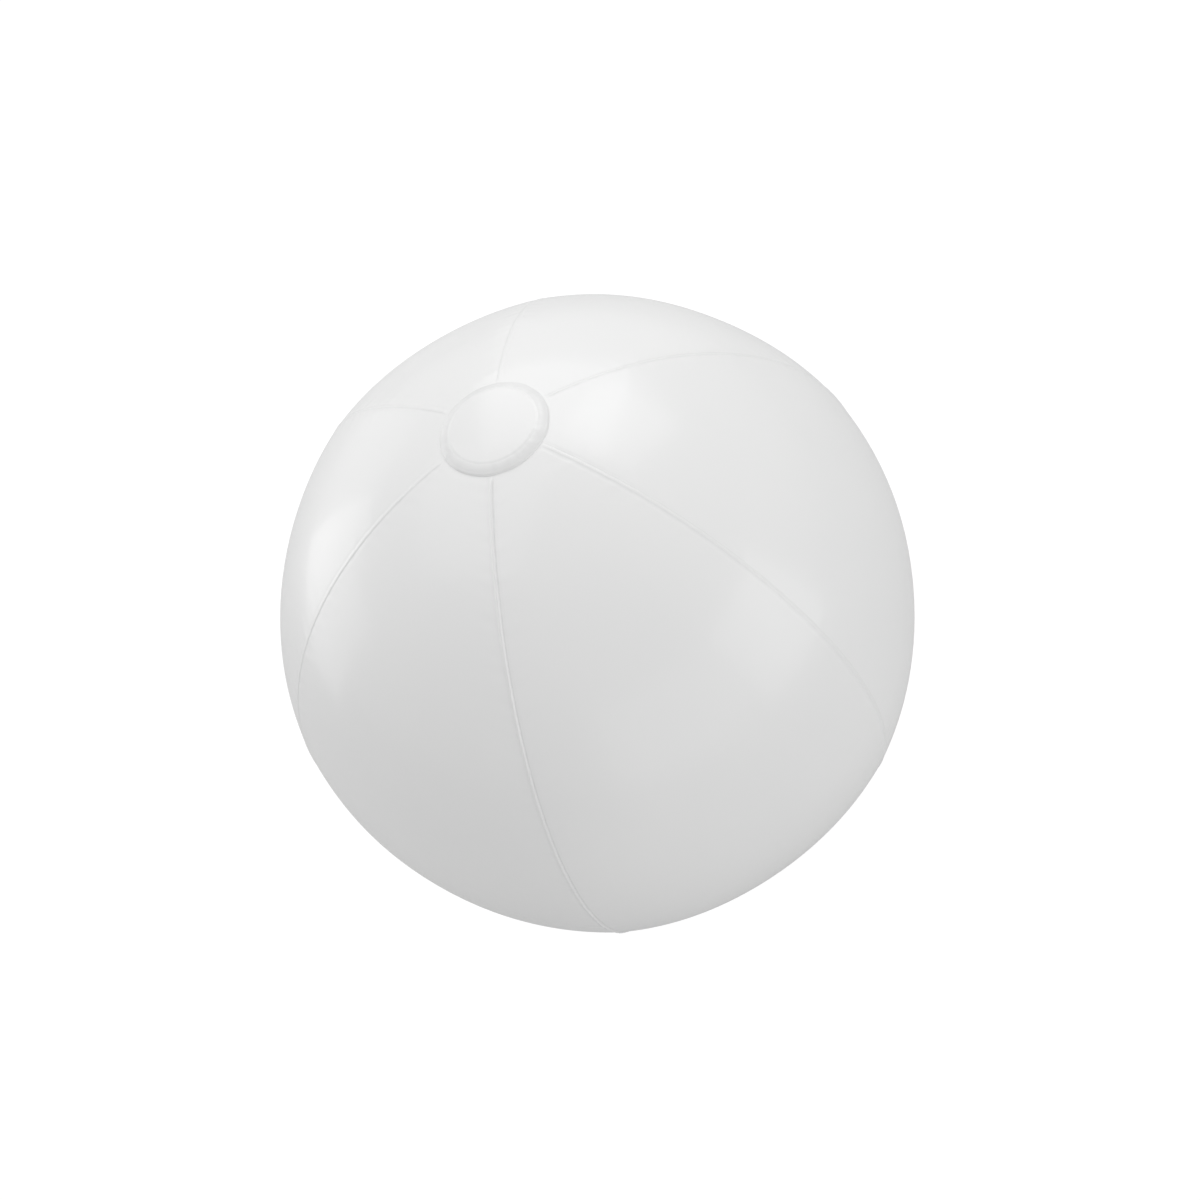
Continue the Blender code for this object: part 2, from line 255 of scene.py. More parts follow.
def pucker_relief(across, along, seam):
    """Short shallow folds square to the seam, gone a few millimetres away from it."""
    side = np.where(across > 0, 3, 5)
    folds = waver(along + 0.35 * np.abs(across), (6.1 * MM, 9.7 * MM, 15.1 * MM), seam + side)
    reach = np.exp(-((np.abs(across) / PUCKER_REACH) ** 2)) * rise(np.abs(across), 0, 2 * MM)
    return PUCKER_HEIGHT * folds * reach


# %% [markdown]
# ## The gores
#
# A gore could be cut out of a sphere, but the points of a sphere are as far apart at the seams as
# anywhere, and a bead needs many. So one meridian, a half circle from tip to tip, is cut from a
# circle with bisect and spun through a sixth of a turn. The columns are then slid sideways, close
# together near the two welds and wide apart in the middle, before the relief lifts them. The edges
# are extruded inwards to make the weld's fin, and Solidify gives the sheet its thickness.

# %% Spin one gore's sheet
GORE_TIP_ANGLE = radians(6.9)
KINK_SHARE = 0.6
ROW_STEP = 1.0 * MM
GORE_COLUMNS = 80
FINE_STEP = 0.2 * MM
FIN_DEPTH = 3 * MM
BEAD_TINT = 0.15


def spin_sheet(name, middle):
    """An even sheet from tip to tip, a sixth of the ball wide, centred on the middle azimuth."""
    start_fresh()
    around = round(tau * BALL_RADIUS / ROW_STEP)
    bpy.ops.mesh.primitive_circle_add(vertices=around, radius=BALL_RADIUS, rotation=(pi / 2, 0, 0))
    bpy.ops.object.transform_apply(location=True, rotation=True, scale=True)
    piece = name_piece(name)
    tip = BALL_RADIUS * cos(GORE_TIP_ANGLE)
    edit()
    cuts = [((0, 0, 0), (-1, 0, 0)), ((0, 0, tip), (0, 0, 1)), ((0, 0, -tip), (0, 0, -1))]
    for place, outward in cuts:
        bpy.ops.mesh.select_all(action="SELECT")
        bpy.ops.mesh.bisect(plane_co=place, plane_no=outward, clear_outer=True)
    leave_edit()
    last_seam = middle + GORE_SPAN / 2  # spin turns clockwise seen from above
    piece.data.transform(Matrix.Rotation(last_seam, 4, "Z"))
    edit()
    bpy.ops.mesh.select_all(action="SELECT")
    bpy.ops.mesh.spin(steps=GORE_COLUMNS, angle=GORE_SPAN, center=(0, 0, 0), axis=(0, 0, 1))
    leave_edit()
    return piece


# %% Shape the sheet into inflated film
def sheet_places(piece, middle):
    """Each point's polar angle and its share of the way from the middle to a seam, -1 to 1."""
    places = points_of(piece)
    polar = np.arccos(np.clip(places[:, 2] / np.linalg.norm(places, axis=1), -1, 1))
    azimuth = np.arctan2(places[:, 1], places[:, 0]) - middle
    azimuth = (azimuth + pi) % tau - pi
    return polar, azimuth / (GORE_SPAN / 2)


def slide_columns(polar, share):
    """Distance from the nearer seam, for columns FINE_STEP apart at the weld and wide beyond."""
    half_width = BALL_RADIUS * np.sin(polar) * GORE_SPAN / 2
    inward = 1 - np.abs(share)
    fine = FINE_STEP * GORE_COLUMNS / 2
    return fine * inward + (half_width - fine) * inward**4


def set_value(piece, name, values):
    """Stores one number per point under a name that a material can read."""
    attribute = piece.data.attributes.new(name, "FLOAT", "POINT")
    attribute.data.foreach_set("value", values.astype(np.float32))


def shape_film(piece, number, middle):
    polar, share = sheet_places(piece, middle)
    ring = BALL_RADIUS * np.sin(polar)
    from_seam = slide_columns(polar, share)
    side = np.sign(share)
    turn = middle + side * (GORE_SPAN / 2 - from_seam / ring)
    seam = np.where(side > 0, number % GORES, number - 1)
    across = -side * from_seam
    along = BALL_RADIUS * polar
    outness = 1 - from_seam / (ring * GORE_SPAN / 2)
    bend = KINK_SHARE * outness**2 + (1 - KINK_SHARE) * (1 - np.cos(pi * outness)) / 2
    swell = SEAM_RIDGE * np.sin(polar) ** 2 * (bend - 1 / 3)
    outward = np.stack([np.sin(polar) * np.cos(turn), np.sin(polar) * np.sin(turn), np.cos(polar)], 1)
    relief = np.zeros(len(polar))
    for one in np.unique(seam):
        here = seam == one
        relief[here] = weld_relief(across[here], along[here], one)
        relief[here] += pucker_relief(across[here], along[here], one)
    from_pole = np.minimum(polar, pi - polar)
    clear_of_disc = rise(from_pole, DISC_EDGE_ANGLE, FULL_BEAD_ANGLE)
    radius = BALL_RADIUS * (1 + swell) + relief * clear_of_disc
    radius += sag(outward * BALL_RADIUS) * clear_of_disc
    move_points(piece, outward * radius[:, None])
    # The weld value below greys the bead a little as the weld's own colour, and the lap crease far more as
    # painted shade.
    strength = np.array(WELD_STRENGTH)[seam] / max(WELD_STRENGTH)
    on_bead = np.exp(-((across / BEAD_HALF) ** 4))
    weld = BEAD_TINT * on_bead + (1 - BEAD_TINT) * strength * crease_mask(across)
    set_value(piece, "weld", weld * clear_of_disc)
    return np.abs(share) > 1 - 1e-4


# %% Fold the fins, thicken and finish each gore
def cut_valve_hole(piece):
    """Opens the film where the valve passes, with a turned cutter laid along the valve's axis."""
    start_fresh()
    stem_low, stem_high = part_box("valve_stem")
    stem_reach = (Vector(stem_high) - Vector(stem_low)).length
    bpy.ops.mesh.primitive_cylinder_add(
        vertices=96,
        radius=HOLE_RADIUS,
        depth=stem_reach,
        location=valve_direction * BALL_RADIUS,
        rotation=valve_direction.to_track_quat("Z", "Y").to_euler(),
    )
    cutter = bpy.context.object
    start_fresh()
    bpy.context.view_layer.objects.active = piece
    apply_modifier(piece, "BOOLEAN", operation="DIFFERENCE", object=cutter)
    bpy.data.objects.remove(cutter)


def add_film_map(piece, middle):
    """A flat map in metres: u across the gore and v along it, as the sheet came off the roll."""
    places = points_of(piece)
    radius = np.linalg.norm(places, axis=1)
    polar = np.arccos(np.clip(places[:, 2] / radius, -1, 1))
    azimuth = (np.arctan2(places[:, 1], places[:, 0]) - middle + pi) % tau - pi
    flat = np.stack([BALL_RADIUS * np.sin(polar) * azimuth, BALL_RADIUS * polar], 1)
    corners = np.empty(len(piece.data.loops), np.int32)
    piece.data.loops.foreach_get("vertex_index", corners)
    layer = piece.data.uv_layers.new(name="film")
    layer.data.foreach_set("uv", flat[corners].astype(np.float32).ravel())


def make_gore(number):
    middle = GORE_SPAN * (number - 0.5)
    piece = spin_sheet(f"gore_film_{number}", middle)
    at_seam = shape_film(piece, number, middle)
    select_points(piece, at_seam)
    bpy.ops.mesh.extrude_edges_move()
    fold = 1 - FIN_DEPTH / BALL_RADIUS
    bpy.ops.transform.resize(value=(fold, fold, fold), center_override=(0, 0, 0))
    bpy.ops.mesh.select_all(action="SELECT")
    bpy.ops.mesh.normals_make_consistent(inside=False)
    leave_edit()
    apply_modifier(piece, "SOLIDIFY", thickness=FILM, offset=-1)
    if abs((VALVE_AZIMUTH - middle + pi) % tau - pi) < GORE_SPAN / 2:
        cut_valve_hole(piece)
    add_film_map(piece, middle)
    smooth(piece)
    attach(piece, "ball_skin")
    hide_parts(f"gore_panel_{number}")
    return piece


flange_low, flange_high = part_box("valve_flange")
FLANGE_RADIUS = (flange_high.x - flange_low.x) / 2
HOLE_RADIUS = FLANGE_RADIUS * 2 / 3
gores = [make_gore(number) for number in range(1, GORES + 1)]

# %% [markdown]
# ## The pole discs
#
# Six pointed tips cannot be welded neatly at one point, so they stop short and a round disc covers
# them. Only a ring near its edge is welded. The middle is free, so air lifts it into a low dome with
# a soft shoulder and pulls the ring up into a slope. The ring's edge squeezes out into a lip. The disc
# starts as one flat round face and is inset ring by ring, closest where the shape turns fastest. The lower
# disc is the same, turned over, with the patch that the ball's weight presses flat.

# %% Inset a flat disc and lift it into shape
DISC_POINTS = 240
RING_INNER = DISC_RADIUS * 0.83
SHOULDER_TOP = DISC_RADIUS * 0.77
LIP_PLACE = DISC_RADIUS - 0.5 * MM
RIM_HEIGHT = 0.36 * MM
RING_RISE = 1.3 * MM
RING_ROUND = 1.9
SHOULDER_RISE = 0.3 * MM
CROWN_HEIGHT = 0.3 * MM
LIP_HEIGHT = 0.07 * MM
LIP_HALF = 0.3 * MM
EDGE_DROP = 0.3 * MM
RING_WAVER = 0.06 * MM
EDGE_WOBBLE = 0.005
OVER_BEAD = 0.16 * MM
OVER_BEAD_HALF = 1.1 * MM
ring_widths = [0.12 * MM] * 7 + [0.2 * MM] * 26 + [0.85 * MM] * 17


def turns_of(counts):
    """Wave lengths that fit a whole number of times round the disc's edge."""
    return [tau * DISC_RADIUS / count for count in counts]


def disc_lift(radius, turn, seed):
    """Height of the disc over the ball at each point, from the rim's lip to the crown."""
    arc = turn * DISC_RADIUS
    outward = np.clip((radius - RING_INNER) / (DISC_RADIUS - RING_INNER), 0, 1)
    height = RIM_HEIGHT + RING_RISE * (1 - outward**RING_ROUND)
    height += SHOULDER_RISE * rise(-radius, -RING_INNER, -SHOULDER_TOP)
    height += CROWN_HEIGHT * (1 - np.minimum(radius / SHOULDER_TOP, 1) ** 2)
    lip = LIP_HEIGHT * np.exp(-(((radius - LIP_PLACE) / LIP_HALF) ** 2))
    height += lip * (1 + 0.4 * waver(arc, turns_of((47, 31, 19)), seed))
    height -= EDGE_DROP * rise(radius, LIP_PLACE + LIP_HALF / 2, DISC_RADIUS)
    on_ring = np.exp(-(((radius - RING_INNER - 0.4 * MM) / (1.8 * MM)) ** 2))
    height += RING_WAVER * waver(arc, turns_of((13, 23, 37)), seed + 2) * on_ring
    from_seam = (turn + GORE_SPAN / 2) % GORE_SPAN - GORE_SPAN / 2
    over_bead = np.exp(-((from_seam * radius / OVER_BEAD_HALF) ** 2))
    return height + OVER_BEAD * over_bead * rise(radius, RING_INNER, LIP_PLACE)


def make_disc(name, replaced, top):
    start_fresh()
    bpy.ops.mesh.primitive_circle_add(vertices=DISC_POINTS, radius=DISC_RADIUS, fill_type="NGON")
    piece = name_piece(name)
    edit()
    bpy.ops.mesh.select_all(action="SELECT")
    for width in ring_widths:
        bpy.ops.mesh.inset(thickness=width)
    bpy.ops.mesh.poke()
    leave_edit()
    places = points_of(piece)
    radius = np.hypot(places[:, 0], places[:, 1])
    turn = np.arctan2(places[:, 1], places[:, 0])
    places[:, 2] = np.sqrt(BALL_RADIUS**2 - radius**2) + disc_lift(radius, turn, 1 if top else 4)
    if not top:
        places[:, 2] = np.minimum(places[:, 2], -FLOOR_HEIGHT)
    wobble = EDGE_WOBBLE * waver(turn * DISC_RADIUS, turns_of((5, 9, 14)), 3)
    outer = rise(radius, LIP_PLACE - MM, DISC_RADIUS)
    places[:, :2] *= (1 + wobble * outer)[:, None]
    move_points(piece, places)
    # The ring's weld value greys it partly as the welded ring's own colour and partly as painted shade of
    # its slope.
    on_ring = rise(radius, RING_INNER - 0.3 * MM, RING_INNER + 0.2 * MM)
    ring_grey_and_shade = 0.8 + 0.2 * waver(turn * DISC_RADIUS, turns_of((4, 9, 17)), 6)
    set_value(piece, "weld", ring_grey_and_shade * on_ring * (1 - rise(radius, LIP_PLACE, DISC_RADIUS)))
    apply_modifier(piece, "SOLIDIFY", thickness=FILM, offset=-1)
    if not top:
        piece.data.transform(Matrix.Rotation(pi, 4, "X"))
    smooth(piece)
    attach(piece, "ball_skin")
    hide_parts(replaced)
    return piece


top_disc = make_disc("top_weld_disc", "top_pole_disc", True)
base_disc = make_disc("base_weld_disc", "base_pole_disc", False)

# %% [markdown]
# ## Turned pieces for the valve
#
# The valve is a soft moulding, and almost all of it is round. Its pieces are drawn as an outline, one
# vertex extruded from point to point as by hand, and spun about the axis. Moulded vinyl has no sharp
# edges, so each outline's corners carry a fillet. All of this happens upright at the origin, where a
# valve is easy to think about, and each finished piece is then moved to its place on the ball.


# %% Outline, spin and place
def filleted(corners, closed, steps=4):
    """Turns (radius, height, fillet) corners in millimetres into an outline with rounded corners."""
    outline = []
    count = len(corners)
    for k, (x, z, fillet) in enumerate(corners):
        here = Vector((x, z))
        if fillet == 0 or (not closed and k in (0, count - 1)):
            outline.append(here)
            continue
        before = Vector(corners[k - 1][:2])
        after = Vector(corners[(k + 1) % count][:2])
        first = here + (before - here).normalized() * fillet
        last = here + (after - here).normalized() * fillet
        for j in range(steps + 1):
            t = j / steps
            outline.append(first * (1 - t) ** 2 + here * 2 * t * (1 - t) + last * t**2)
    return [point * MM for point in outline]


def spin_outline(name, outline, closed, steps=96):
    start_fresh()
    bpy.ops.mesh.primitive_plane_add(size=MM)
    piece = name_piece(name)
    edit()
    bpy.ops.mesh.select_all(action="SELECT")
    bpy.ops.mesh.merge(type="CENTER")
    bpy.ops.transform.translate(value=(outline[0].x, 0, outline[0].y))
    for before, after in zip(outline, outline[1:]):
        step = after - before
        bpy.ops.mesh.extrude_vertices_move(TRANSFORM_OT_translate={"value": (step.x, 0, step.y)})
    if closed:
        ends = np.zeros(len(outline), bool)
        ends[[0, -1]] = True
        select_points(piece, ends)
        bpy.ops.mesh.edge_face_add()
    bpy.ops.mesh.select_all(action="SELECT")
    bpy.ops.mesh.spin(steps=steps, angle=tau, center=(0, 0, 0), axis=(0, 0, 1))
    bpy.ops.mesh.select_all(action="SELECT")
    bpy.ops.mesh.remove_doubles(threshold=0.002 * MM)
    bpy.ops.mesh.normals_make_consistent(inside=False)
    leave_edit()
    return piece


middle_swell = SEAM_RIDGE * sin(VALVE_POLAR) ** 2 * (-1 / 3)
valve_place = valve_direction * BALL_RADIUS * (1 + middle_swell)
valve_frame = Matrix.Translation(valve_place) @ (
    Matrix.Rotation(VALVE_AZIMUTH - pi / 2, 4, "Z") @ Matrix.Rotation(-VALVE_POLAR, 4, "X")
)


def place_on_valve(piece, body, replaced):
    start_fresh()
    piece.select_set(True)
    bpy.context.view_layer.objects.active = piece
    piece.matrix_world = valve_frame
    bpy.ops.object.transform_apply(location=True, rotation=True, scale=True)
    smooth(piece)
    if body:
        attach(piece, body)
    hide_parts(replaced)
    return piece


def add_block(name, place, size, turn, edge):
    """A bevelled block in the valve's frame: millimetres, turned about the valve's axis."""
    start_fresh()
    spot = Matrix.Rotation(turn, 4, "Z") @ Vector(place)
    bpy.ops.mesh.primitive_cube_add(size=MM, location=spot * MM, rotation=(0, 0, turn), scale=size)
    bpy.ops.object.transform_apply(location=True, rotation=True, scale=True)
    block = name_piece(name)
    apply_modifier(block, "BEVEL", width=edge * MM, segments=3)
    return block


def weld_on(piece, block):
    """Joins a block to a piece as one moulding."""
    start_fresh()
    piece.select_set(True)
    bpy.context.view_layer.objects.active = piece
    apply_modifier(piece, "BOOLEAN", operation="UNION", object=block)
    bpy.data.objects.remove(block)


# %% [markdown]
# ## The flange
#
# The flange is the flat collar that holds the valve on the ball. It follows the ball's curve, a lip
# stands round its hole, and a ring of short ribs near its edge is the print of the welding tool. The
# ribs are real relief: the points of that ring are lifted by a cosine of their turn about the axis.

# %% Turn the flange and press its ribs
RIB_COUNT = 72
RIB_HEIGHT = 0.09 * MM
RIBS_INNER = 11.95 * MM
RIBS_OUTER = 12.95 * MM
RIB_FADE = 0.25 * MM
FLANGE_UPPER = 0.4 * MM
FLANGE_STEPS = RIB_COUNT * 5
flange_corners = [
    (9.0, 0.05, 0),
    (9.0, 1.15, 0.25),
    (9.7, 1.15, 0.3),
    (10.1, 0.8, 0.2),
    (11.3, 0.78, 0.12),
    (11.5, 0.55, 0.12),
    (11.9, 0.55, 0.12),
    (12.05, 0.7, 0.1),
    (12.3, 0.7, 0),
    (12.6, 0.7, 0),
    (12.85, 0.7, 0.1),
    (13.0, 0.5, 0.1),
    (13.5, 0.32, 0.15),
    (13.5, 0.05, 0),
    (12.0, 0.05, 0),
    (10.5, 0.05, 0),
]
flange = spin_outline("flange_collar", filleted(flange_corners, True), True, FLANGE_STEPS)
places = points_of(flange)
reach = np.hypot(places[:, 0], places[:, 1])
turn = np.arctan2(places[:, 1], places[:, 0])
ribbed = rise(reach, RIBS_INNER, RIBS_INNER + RIB_FADE)
ribbed *= 1 - rise(reach, RIBS_OUTER - RIB_FADE, RIBS_OUTER)
ribbed *= places[:, 2] > FLANGE_UPPER
places[:, 2] += np.sqrt(BALL_RADIUS**2 - reach**2) - BALL_RADIUS
places[:, 2] += RIB_HEIGHT * np.cos(RIB_COUNT * turn) * ribbed
move_points(flange, places)
place_on_valve(flange, "ball_skin", "valve_flange")

# %% [markdown]
# ## The rolling web
#
# Between flange and stem is a thin sleeve. Pull the stem and the sleeve turns inside out, which is how
# one moulding can hide in the ball and stand up to be blown into. Its wall follows an S from the lip
# down to the stem's collar with a few faint folds. It is placed once in the valve's frame and joined
# to no body.

# %% Draw the web's wall and place it
WEB_HALF = 0.2
WEB_FOLD = 0.1
WEB_STEPS = 28
WEB_TOP = 0.35
WEB_FOOT = -6.4
web_corners = [(9.03, WEB_TOP), (7.4, 0.5), (6.6, -6.6), (4.96, WEB_FOOT)]
web_curve = [Vector(corner) for corner in web_corners]


def web_point(t):
    a, b, c, d = web_curve
    return a * (1 - t) ** 3 + b * 3 * t * (1 - t) ** 2 + c * 3 * t * t * (1 - t) + d * t**3


def web_wall():
    """The wall's closed outline: out along one face and back along the other."""
    outer, inner = [], []
    for k in range(WEB_STEPS + 1):
        t = k / WEB_STEPS
        here = web_point(t)
        ahead = (web_point(min(1, t + 0.01)) - web_point(max(0, t - 0.01))).normalized()
        side = Vector((-ahead.y, ahead.x))
        fold = WEB_FOLD * sin(4 * tau * t) * sin(pi * t)
        outer.append(here + side * (fold + WEB_HALF))
        inner.append(here + side * (fold - WEB_HALF))
    return [point * MM for point in outer + inner[::-1]]


web = spin_outline("rolling_web", web_wall(), True)
place_on_valve(web, None, "valve_web")
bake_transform(web)

# %% [markdown]
# ## The stem
#
# The stem is the tube that lips or a pump fit. A rim under the plug stiffens its mouth, the web holds
# it by a collar halfway down, and two small lugs are moulded on: one for the plug's strap beside the
# rim, and one behind the flap's neck at the foot.

# %% Turn the stem and mould its lugs
stem_corners = [
    (3.0, -0.6, 0.15),
    (5.0, -0.6, 0.25),
    (5.0, -1.3, 0.25),
    (4.5, -1.8, 0.3),
    (4.5, -5.7, 0.1),
    (5.0, -5.9, 0.15),
    (5.0, -6.9, 0.15),
    (4.5, -7.1, 0.1),
    (4.5, -11.6, 0.25),
    (3.0, -11.6, 0.2),
    (3.0, -6.4, 0),
]
stem = spin_outline("stem_tube", filleted(stem_corners, True), True)
LUG_TURN = radians(57.5)
weld_on(stem, add_block("strap_lug", (0, 5.55, -1.075), (1.6, 2.7, 0.75), LUG_TURN, 0.18))
weld_on(stem, add_block("flap_lug_arm", (0, -4.8, -10.85), (3.0, 1.2, 0.9), 0, 0.15))
weld_on(stem, add_block("flap_lug_foot", (0, -5.075, -11.5), (3.0, 0.65, 1.8), 0, 0.15))
place_on_valve(stem, "valve_stem", "valve_stem")

# %% [markdown]
# ## The plug
#
# The plug is a short stopper under a button. Two soft beads on the stopper seal the bore, the button
# is crowned with a shallow ring, and a tab with grip ribs gives a fingernail somewhere to pull. The
# strap's lug is on the far side, so pulling the tab peels the plug out towards its strap.

# %% Turn the plug and mould its tab
plug_corners = [
    (0, 0.98, 0),
    (0.5, 0.98, 0.1),
    (0.8, 1.1, 0.15),
    (2.9, 1.04, 0.2),
    (3.2, 0.88, 0.12),
    (3.6, 0.88, 0.12),
    (3.85, 1.0, 0.12),
    (4.6, 0.93, 0.2),
    (5.0, 0.55, 0.2),
    (5.0, -0.3, 0.22),
    (2.7, -0.3, 0.15),
    (2.7, -2.0, 0.1),
    (2.9, -2.35, 0.12),
    (2.7, -2.7, 0.1),
    (2.7, -4.0, 0.1),
    (2.9, -4.35, 0.12),
    (2.7, -4.7, 0.1),
    (2.7, -5.7, 0.2),
    (2.1, -6.3, 0.25),
    (0, -6.3, 0),
]
plug = spin_outline("plug_stopper", filleted(plug_corners, False), False)
weld_on(plug, add_block("head_lug", (0, 5.65, 0.175), (1.6, 2.5, 0.72), -LUG_TURN, 0.18))
weld_on(plug, add_block("pull_tab", (0, -5.6, 0.275), (3.6, 2.6, 0.55), 0, 0.2))
for step in range(3):
    rib = add_block(f"grip_rib_{step}", (0, -5.5 - 0.5 * step, 0.55), (2.6, 0.22, 0.3), 0, 0.08)
    weld_on(plug, rib)
place_on_valve(plug, "valve_plug", "valve_plug")

# %% [markdown]
# ## The strap
#
# The strap keeps the plug from being lost. It lies in a short arc round the button, rising from the
# stem's lug to the head's lug. It starts as a small plane stood upright with its corners bevelled,
# which is the strap's section, and that is spun round the axis. The rise is added afterwards.

# %% Spin the strap and let it climb
STRAP_RADIUS = 6.2
STRAP_SWEEP = radians(94)
STRAP_LOW = -1.075 * MM
STRAP_HIGH = 0.175 * MM
start_fresh()
bpy.ops.mesh.primitive_plane_add(size=MM, rotation=(pi / 2, 0, 0), scale=(1.4, 0.7, 1))
bpy.ops.object.transform_apply(location=True, rotation=True, scale=True)
strap = name_piece("tether_strap")
edit()
bpy.ops.mesh.select_all(action="SELECT")
bpy.ops.mesh.bevel(offset=0.2 * MM, segments=4, affect="VERTICES")
bpy.ops.transform.translate(value=(STRAP_RADIUS * MM, 0, 0))
bpy.ops.mesh.spin(steps=48, angle=STRAP_SWEEP, center=(0, 0, 0), axis=(0, 0, 1))
bpy.ops.mesh.select_all(action="SELECT")
bpy.ops.mesh.normals_make_consistent(inside=False)
leave_edit()
strap.data.transform(Matrix.Rotation(pi / 2 + STRAP_SWEEP / 2, 4, "Z"))
places = points_of(strap)
turned = np.arctan2(places[:, 1], places[:, 0]) - (pi / 2 - STRAP_SWEEP / 2)
climb = 1 - rise(turned, 0, STRAP_SWEEP)
places[:, 2] += STRAP_LOW + (STRAP_HIGH - STRAP_LOW) * climb
move_points(strap, places)
place_on_valve(strap, None, "plug_tether")
reach = STRAP_RADIUS * sin(STRAP_SWEEP / 2)
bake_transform(strap)

# %% [markdown]
# ## The check flap
#
# The flap is a thin round leaf under the tube. Air from outside pushes it open, and air inside the
# ball presses it shut. A raised ring near its edge seals against the tube's foot, and its neck is the
# hinge. A cylinder is inset and raised for the ring, bevelled all round, and given its ear.

# %% Shape the flap
FLAP_RADIUS = 4.0 * MM
FLAP_THICK = 0.5 * MM
FLAP_MIDDLE = -12.15
FLAP_EDGE = 0.08 * MM
SEAL_PLACE = 0.35 * MM
SEAL_SLOPE = 0.1 * MM
SEAL_WIDTH = 0.3 * MM
SEAL_HEIGHT = 0.12 * MM
MIDDLE_DROP = 0.16 * MM
start_fresh()
bpy.ops.mesh.primitive_cylinder_add(
    vertices=72, radius=FLAP_RADIUS, depth=FLAP_THICK, location=(0, 0, FLAP_MIDDLE * MM)
)
bpy.ops.object.transform_apply(location=True, rotation=True, scale=True)
flap = name_piece("flap_leaf")
edit()
bpy.ops.mesh.select_mode(type="FACE")
bpy.ops.mesh.select_all(action="DESELECT")
leave_edit()
for face in flap.data.polygons:
    face.select = face.normal.z > 0.9
edit()
bpy.ops.mesh.inset(thickness=SEAL_PLACE)
bpy.ops.mesh.inset(thickness=SEAL_SLOPE)
bpy.ops.transform.translate(value=(0, 0, SEAL_HEIGHT))
bpy.ops.mesh.inset(thickness=SEAL_WIDTH)
bpy.ops.mesh.inset(thickness=SEAL_SLOPE)
bpy.ops.transform.translate(value=(0, 0, -MIDDLE_DROP))
leave_edit()
sharp = {"limit_method": "ANGLE", "angle_limit": radians(50)}
apply_modifier(flap, "BEVEL", width=FLAP_EDGE, segments=2, **sharp)
weld_on(flap, add_block("flap_ear", (0, -3.9, FLAP_MIDDLE), (3.0, 1.0, 0.44), 0, 0.1))
place_on_valve(flap, "check_flap", "check_flap")

# %% [markdown]
# ## What white vinyl looks like up close
#
# A beach ball's film is calendered: squeezed between rollers into a smooth sheet with a satin gloss.
# Close up it is not perfect. Its gloss drifts where hands and folds have touched it, its surface has
# a fine orange peel, and the rollers leave faint lines along the sheet. Where it was welded it is
# flatter and a little greyer. The same grey is also painted shade: on the gores it lies mostly in the
# fine lap crease beside each bead, and on the discs it darkens the sloping weld ring. Each of these is
# a node group, built once and placed in each material with its own values, and a group gives out only
# masks and heights. The shader itself stays in the material.


# %% Helpers for nodes
def add_node(tree, kind, feeds=None, **settings):
    """Adds a node, sets it up, and fills its inputs with plain values or with other nodes' outputs."""
    node = tree.nodes.new(kind)
    for key, value in settings.items():
        setattr(node, key, value)
    for socket, value in (feeds or {}).items():
        if isinstance(value, bpy.types.NodeSocket):
            tree.links.new(value, node.inputs[socket])
        else:
            node.inputs[socket].default_value = value
    return node


def start_group(name, inputs, outputs):
    """An empty shader node group with its named sockets, and its two end nodes."""
    group = bpy.data.node_groups.new(name, "ShaderNodeTree")
    for title, kind, value in inputs:
        socket = group.interface.new_socket(name=title, in_out="INPUT", socket_type=kind)
        if value is not None:
            socket.default_value = value
    for title in outputs:
        group.interface.new_socket(name=title, in_out="OUTPUT", socket_type="NodeSocketFloat")
    return group, add_node(group, "NodeGroupInput"), add_node(group, "NodeGroupOutput")


def noise(tree, place, scale, detail=2.0, rough=0.5):
    feeds = {"Vector": place, "Scale": scale, "Detail": detail, "Roughness": rough}
    return add_node(tree, "ShaderNodeTexNoise", feeds).outputs["Fac"]


def spread(tree, value, low, high, to_low=0.0, to_high=1.0):
    """Stretches the part of a value between low and high over a new range."""
    feeds = {"Value": value, "From Min": low, "From Max": high, "To Min": to_low, "To Max": to_high}
    return add_node(tree, "ShaderNodeMapRange", feeds).outputs["Result"]


def combine(tree, operation, first, second):
    """One sum or product of two values."""
    return add_node(tree, "ShaderNodeMath", {0: first, 1: second}, operation=operation).outputs[0]


# %% Group: surface haze and orange peel
def build_film_skin():
    """Haze drifts over centimetres and over millimetres. Peel is the fine unevenness of the skin."""
    inputs = [
        ("Place", "NodeSocketVector", None),
        ("Haze Scale", "NodeSocketFloat", 24.0),
        ("Peel Scale", "NodeSocketFloat", 700.0),
    ]
    group, given, out = start_group("film_skin", inputs, ["Haze", "Tint", "Height"])
    place, haze_scale, peel_scale = (given.outputs[k] for k in range(3))
    broad = noise(group, place, haze_scale, 3.0, 0.55)
    close = noise(group, place, combine(group, "MULTIPLY", haze_scale, 7.0), 4.0, 0.6)
    broad = combine(group, "MULTIPLY", broad, 0.65)
    close = combine(group, "MULTIPLY", close, 0.35)
    haze = combine(group, "ADD", broad, close)
    group.links.new(spread(group, haze, 0.34, 0.66), out.inputs["Haze"])
    tint = noise(group, place, combine(group, "MULTIPLY", haze_scale, 0.6), 2.0)
    group.links.new(spread(group, tint, 0.3, 0.7), out.inputs["Tint"])
    peel = noise(group, place, peel_scale, 2.0, 0.5)
    dimple = noise(group, place, combine(group, "MULTIPLY", peel_scale, 0.22), 2.0, 0.5)
    peel = combine(group, "MULTIPLY", peel, 0.3)
    dimple = combine(group, "MULTIPLY", dimple, 0.7)
    height = combine(group, "ADD", peel, dimple)
    group.links.new(height, out.inputs["Height"])
    return group


